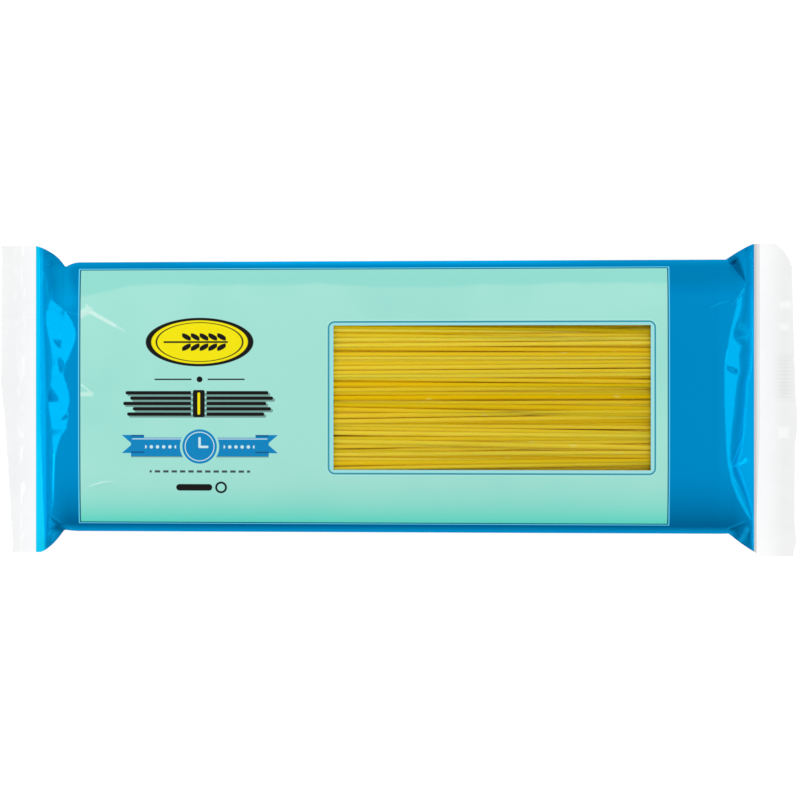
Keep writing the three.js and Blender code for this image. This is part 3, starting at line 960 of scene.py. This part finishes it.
    # small marks under the ribbon
    dashes, marks = printing["dashes"], printing["marks"]
    x, y = place(*dashes["middle"])
    halfLength, halfHeight = dashes["half"]
    dash = abs((x + dashes["shift"]).modulo(dashes["pitch"]) - dashes["pitch"] / 2) - halfLength
    dash = filled(dash) * filled(abs(y) - halfHeight) * filled(abs(x) - dashes["span"], 0.1)
    ring = outline(disc(*marks["ring"]), *marks["line"])
    colour = paint(colour, ("grey", dash), ("black", filled(bar(*marks["bar"])).most(ring)))

    # the gloss over the blue ink keeps the ink's colour; the panel's gloss is white
    matt = f.node("ShaderNodeBsdfPrincipled", {}, {
        "Base Color": colour, "Roughness": 0.5, "Specular IOR Level": 0.0})
    sheen = f.node("ShaderNodeBsdfGlossy", {}, {"Color": (0.0, 0.66, 1.0, 1), "Roughness": 0.09})
    facing = f.node("ShaderNodeFresnel", {}, {"IOR": 1.58})
    blueFilm = f.blend(facing.least(0.065), matt, sheen)
    mintFilm = f.node("ShaderNodeBsdfPrincipled", {}, {
        "Base Color": colour, "Roughness": 0.12, "IOR": 1.5, "Specular IOR Level": 0.13})
    return f.finish(f.blend(onPanel, blueFilm, mintFilm))


clearParts = {
    "edgeShade": (0.1, 0.27),           # light lost at the seals and at the fins' outer edges
    "rightShade": 0.06,                 # more of it on the right fin
    "crimps": (150.2, 10.0, 5.0, 16.0),
    "crimpsPerMm": 4.4,
    "columnX": (-146.6, -149.5),        # the left fin's glints, at its near and its far end
    "spots": ((150.9, 38.2, 4.2, 2.6), (150.4, 29.6, 3.6, 2.6), (150.0, -11.4, 3.8, 4.0)),
    "foldLines": ((-148.0, 34.5, 16.0, 0.2, 0.12), (149.0, -47.0, 10.0, 0.2, 0.1)),
    "sealLine": 138.4,
    "dull": 0.75,                       # what the dimmest film lets through
}


def clearFilm():
    f = Finish("clearFilm")
    along, across = filmCoordinates(f)
    place = f.objectPlace()
    haze = f.noise(place, 60.0, 3.0, 0.6)
    onFin = f.spread(abs(along), 0.0, 1.0, 130.0, 131.0)

    def patch(x, y, width, height, soft=0.7):
        # one inside a box on the fin, zero outside, with a soft edge
        da = abs(along - x) - width / 2
        db = abs(across - printPosition(y)) - height / 2
        return (0.5 - da.most(db) / soft).clamped()

    # less light passes the fins' outer edges, and a grey seal line crosses the right one
    dim = f.spread(abs(along), *clearParts["edgeShade"], 140.0, 150.0) + (haze - 0.5) * 0.16
    dim = dim + clearParts["rightShade"] * f.spread(along, 0.0, 1.0, 145.0, 150.0)
    crimps = patch(*clearParts["crimps"], 4.0)
    ridges = ((across * clearParts["crimpsPerMm"] + haze * 5.0).sine() + 1.0) * 0.5
    dim = dim + crimps * (0.16 + 0.16 * ridges)
    # glints: a broken column on the left fin and three spots on the right one
    columnAt = f.spread(across, *clearParts["columnX"], -52.0, 40.0)
    column = (1.3 - abs(along - columnAt)).clamped()
    blobs = f.spread(f.noise(f.stretched(place, (1.6, 0.55, 1.0)), 230.0, 1.0), 0.0, 1.0, 0.52, 0.6)
    glint = column * blobs * f.spread(across, 1.0, 0.45, -40.0, 20.0)
    for spot in clearParts["spots"]:
        glint = glint.most(patch(*spot, 1.4) * f.spread(haze, 1.0, 0.75, 0.35, 0.65))
    dim = dim * (1.0 - glint)
    for *fold, shade in clearParts["foldLines"]:
        dim = dim + shade * patch(*fold, 0.5)
    # the seal line fades outwards, and is narrower near the corner in front
    lineEnd = f.spread(across, 139.6, 140.8, -45.0, -15.0)
    sealLine = (along - clearParts["sealLine"]).most(0) * (lineEnd - along).most(0)
    fadeFrom = f.spread(across, 138.6, 139.8, -45.0, 50.0)
    fade = 1.0 - 0.4 * (along - fadeFrom).most(0)
    dim = dim + f.spread(sealLine, 0.0, 1.0, 0.0, 0.2) * fade.clamped()
    # the pane is dimmer towards the right and the near side, and at its right edge
    paneShade = f.spread(along, 0.0, 0.25, -25.0, 98.0) + f.spread(across, 0.15, 0.0, -28.0, 28.0)
    paneShade = paneShade + 0.5 * f.spread(along, 0.0, 1.0, windowPane["right"] - 1.2, windowPane["right"])
    dim = f.node("ShaderNodeMix", {"data_type": "FLOAT"}, {"Factor": onFin, "A": paneShade, "B": dim})
    bright = f.node("ShaderNodeBsdfTransparent", {}, {"Color": (1, 1, 1, 1)})
    dull = f.node("ShaderNodeBsdfTransparent", {}, {"Color": (*[clearParts["dull"]] * 3, 1)})
    clear = f.blend(dim.clamped(), bright, dull)
    gloss = f.node("ShaderNodeBsdfGlossy", {}, {"Color": (1, 1, 1, 1), "Roughness": 0.1})
    facing = f.node("ShaderNodeFresnel", {}, {"IOR": 1.42})
    reflected = facing.least(0.5) * f.spread(onFin, 0.03, 1.0)
    return f.finish(f.blend(reflected, clear, gloss))


film.data.materials.append(printedFilm())
film.data.materials.append(clearFilm())


def assignClear():
    mesh = film.data
    count = len(mesh.polygons)
    centres = np.zeros(count * 3)
    mesh.polygons.foreach_get("center", centres)
    x = centres[::3] / mm
    # the turn at each face's middle, with the closing faces at the ends left outside the window
    turn = np.ones(count)
    turn[:quadCount] = np.resize((ts + np.append(ts[1:], 1.0)) / 2, quadCount)
    fins = (x < printEnds["left"]) | (x > printEnds["right"])
    pane = ((x > windowPane["left"]) & (x < windowPane["right"])
            & (turn > turnAt(windowPane["far"])) & (turn < turnAt(windowPane["near"])))
    mesh.polygons.foreach_set("material_index", np.where(fins | pane, 1, 0).astype(int))


assignClear()
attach(film, "root")
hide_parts("film_wrapper")
print("film made")


# Spaghetti

pasta = {
    "length": 250.8,
    "radius": 0.95,
    "thickness": (0.9, 1.06),   # shares of that radius
    "pitch": 1.72,
    "layers": 4,
    "layerStep": 1.05,
    "perLayer": 55,
    "clearance": 0.5,
    "seed": 7,
    "sideways": 0.6,
    "lengthways": 0.4,
    "deepest": 0.9,             # how far a strand may sink into its layer
    "yaw": 0.022,               # radians, less for a strand beside the film's folds
    "yawFull": 27.0,
    "yawNone": 49.5,
    "yawRoom": 2.5,
    "sides": 10,
    "rings": 9,
}
pastaInks = {"dark": srgb(242, 198, 0), "light": srgb(255, 226, 74),
             "streak": srgb(242, 192, 0), "glint": srgb(252, 240, 130)}


def spaghettiFinish():
    f = Finish("durumPasta")
    place = f.objectPlace()
    streak = f.noise(f.stretched(place, (0.06, 1.0, 1.0)), 1100.0, 3.0)
    colour = f.colours(pastaInks["dark"], pastaInks["light"], f.attribute("tone"))
    colour = f.colours(colour, pastaInks["streak"], f.spread(streak, 0.0, 0.5, 0.5, 0.8))
    glint = f.spread(f.noise(f.stretched(place, (0.3, 1.0, 1.0)), 420.0, 1.0), 0.0, 0.5, 0.75, 0.8)
    colour = f.colours(colour, pastaInks["glint"], glint)
    bump = f.node("ShaderNodeBump", {}, {"Height": streak, "Strength": 0.12, "Distance": 0.00005})
    shader = f.node("ShaderNodeBsdfPrincipled", {}, {
        "Base Color": colour, "Roughness": 0.36, "IOR": 1.5, "Normal": bump,
        "Specular IOR Level": 0.06, "Specular Tint": (1.0, 0.8, 0.2, 1),
        "Subsurface Weight": 0.45, "Subsurface Radius": (0.0018, 0.0013, 0.0001),
        "Subsurface Scale": 1.0})
    return f.finish(shader)


def strandTree(finish):
    tree = bpy.data.node_groups.new("strandBundle", "GeometryNodeTree")
    for way in ("INPUT", "OUTPUT"):
        tree.interface.new_socket("Geometry", in_out=way, socket_type="NodeSocketGeometry")
    for name, kind, value in (("Strand length", "Float", pasta["length"] * mm),
                              ("Strand radius", "Float", pasta["radius"] * mm),
                              ("Pitch", "Float", pasta["pitch"] * mm),
                              ("Layer step", "Float", pasta["layerStep"] * mm),
                              ("Per layer", "Int", pasta["perLayer"]),
                              ("Layers", "Int", pasta["layers"]),
                              ("Seed", "Int", pasta["seed"])):
        socket = tree.interface.new_socket(name, in_out="INPUT", socket_type="NodeSocket" + kind)
        socket.default_value = value
    start = tree.nodes.new("NodeGroupInput")
    end = tree.nodes.new("NodeGroupOutput")
    g = Builder(tree)
    length, radius, pitch, layerStep, perLayer, layers, seed = [
        Value(tree, socket) for socket in list(start.outputs)[1:8]]
    points = g.node("GeometryNodePoints", {}, {"Count": perLayer * layers})
    index = g.node("GeometryNodeInputIndex")
    layer = (index / perLayer).floor()
    column = index.maths("MODULO", index, perLayer)

    def scatter(low, high, seedStep):
        return g.node("FunctionNodeRandomValue", {"data_type": "FLOAT"},
                      {2: low, 3: high, "ID": index, "Seed": seed + float(seedStep)}, out=1)

    def spreadBy(most, seedStep):
        return scatter(-most, most, seedStep)

    # every other layer is shifted by half a strand
    shift = layer.maths("MODULO", layer, 2.0) * 0.5
    y = (column - (perLayer - 1.0) / 2.0 + (shift - 0.25)) * pitch + spreadBy(pasta["sideways"] * mm, 1)
    away = abs(y)
    # the top follows the film's section
    halfWidth = (packet["halfWidth"] - packet["widening"] - pasta["clearance"]) * mm
    halfHeight = (packet["height"] / 2 - pasta["clearance"]) * mm
    reach = ((away + pasta["yawRoom"] * mm) / halfWidth).least(1.0)
    crown = (1.0 - reach ** packet["exponent"]) ** (1 / packet["exponent"]) * halfHeight
    # half of a layer's strands lie level, the others have sunk in a little
    sunk = spreadBy(pasta["deepest"] * mm, 2).most(0.0)
    z = crown + packet["height"] / 2 * mm - radius - (layer * layerStep + sunk)
    place = g.node("ShaderNodeCombineXYZ", {}, {
        "X": spreadBy(pasta["lengthways"] * mm, 3), "Y": y + packet["offset"] * mm, "Z": z})
    points = g.node("GeometryNodeSetPosition", {}, {"Geometry": points, "Position": place})
    points = g.node("GeometryNodeStoreNamedAttribute", {"data_type": "FLOAT", "domain": "POINT"}, {
        "Geometry": points, "Name": "tone", "Value": scatter(0.0, 1.0, 4)})
    ends = [g.node("ShaderNodeCombineXYZ", {}, {"X": length * half}) for half in (-0.5, 0.5)]
    line = g.node("GeometryNodeCurvePrimitiveLine", {}, {"Start": ends[0], "End": ends[1]})
    line = g.node("GeometryNodeResampleCurve", {}, {"Curve": line, "Count": pasta["rings"]})
    ring = g.node("GeometryNodeCurvePrimitiveCircle", {"mode": "RADIUS"}, {
        "Resolution": pasta["sides"], "Radius": radius})
    tube = g.node("GeometryNodeCurveToMesh", {}, {"Curve": line, "Profile Curve": ring, "Fill Caps": True})
    tube = g.node("GeometryNodeSetShadeSmooth", {}, {"Geometry": tube})
    inner = (pasta["yawNone"] * mm - away) / ((pasta["yawNone"] - pasta["yawFull"]) * mm)
    yaw = spreadBy(pasta["yaw"], 5) * inner.most(0.0).least(1.0)
    turn = g.node("ShaderNodeCombineXYZ", {}, {"X": spreadBy(3.1, 6), "Z": yaw})
    thickness = scatter(*pasta["thickness"], 8)
    size = g.node("ShaderNodeCombineXYZ", {}, {"X": 1.0, "Y": thickness, "Z": thickness})
    strands = g.node("GeometryNodeInstanceOnPoints", {}, {
        "Points": points, "Instance": tube, "Rotation": turn, "Scale": size})
    strands = g.node("GeometryNodeRealizeInstances", {}, {"Geometry": strands})
    strands = g.node("GeometryNodeSetMaterial", {}, {"Geometry": strands, "Material": finish})
    tree.links.new(strands.socket, end.inputs[0])
    return tree


def makeSpaghetti():
    finish = spaghettiFinish()
    mesh = bpy.data.meshes.new("strands")
    source = bpy.data.objects.new("strands", mesh)
    bpy.context.scene.collection.objects.link(source)
    modifier = source.modifiers.new("strandBundle", "NODES")
    modifier.node_group = strandTree(finish)
    bpy.context.view_layer.update()
    depsgraph = bpy.context.evaluated_depsgraph_get()
    plain = bpy.data.meshes.new_from_object(source.evaluated_get(depsgraph), depsgraph=depsgraph,
                                            preserve_all_data_layers=True)
    source.modifiers.clear()
    piece = bpy.data.objects.new("spaghetti", plain)
    bpy.context.scene.collection.objects.link(piece)
    bpy.data.objects.remove(source)
    print("spaghetti", len(plain.polygons), "faces")
    return piece


spaghetti = makeSpaghetti()
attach(spaghetti, "root")
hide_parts("spaghetti_bundle")
print("spaghetti made")
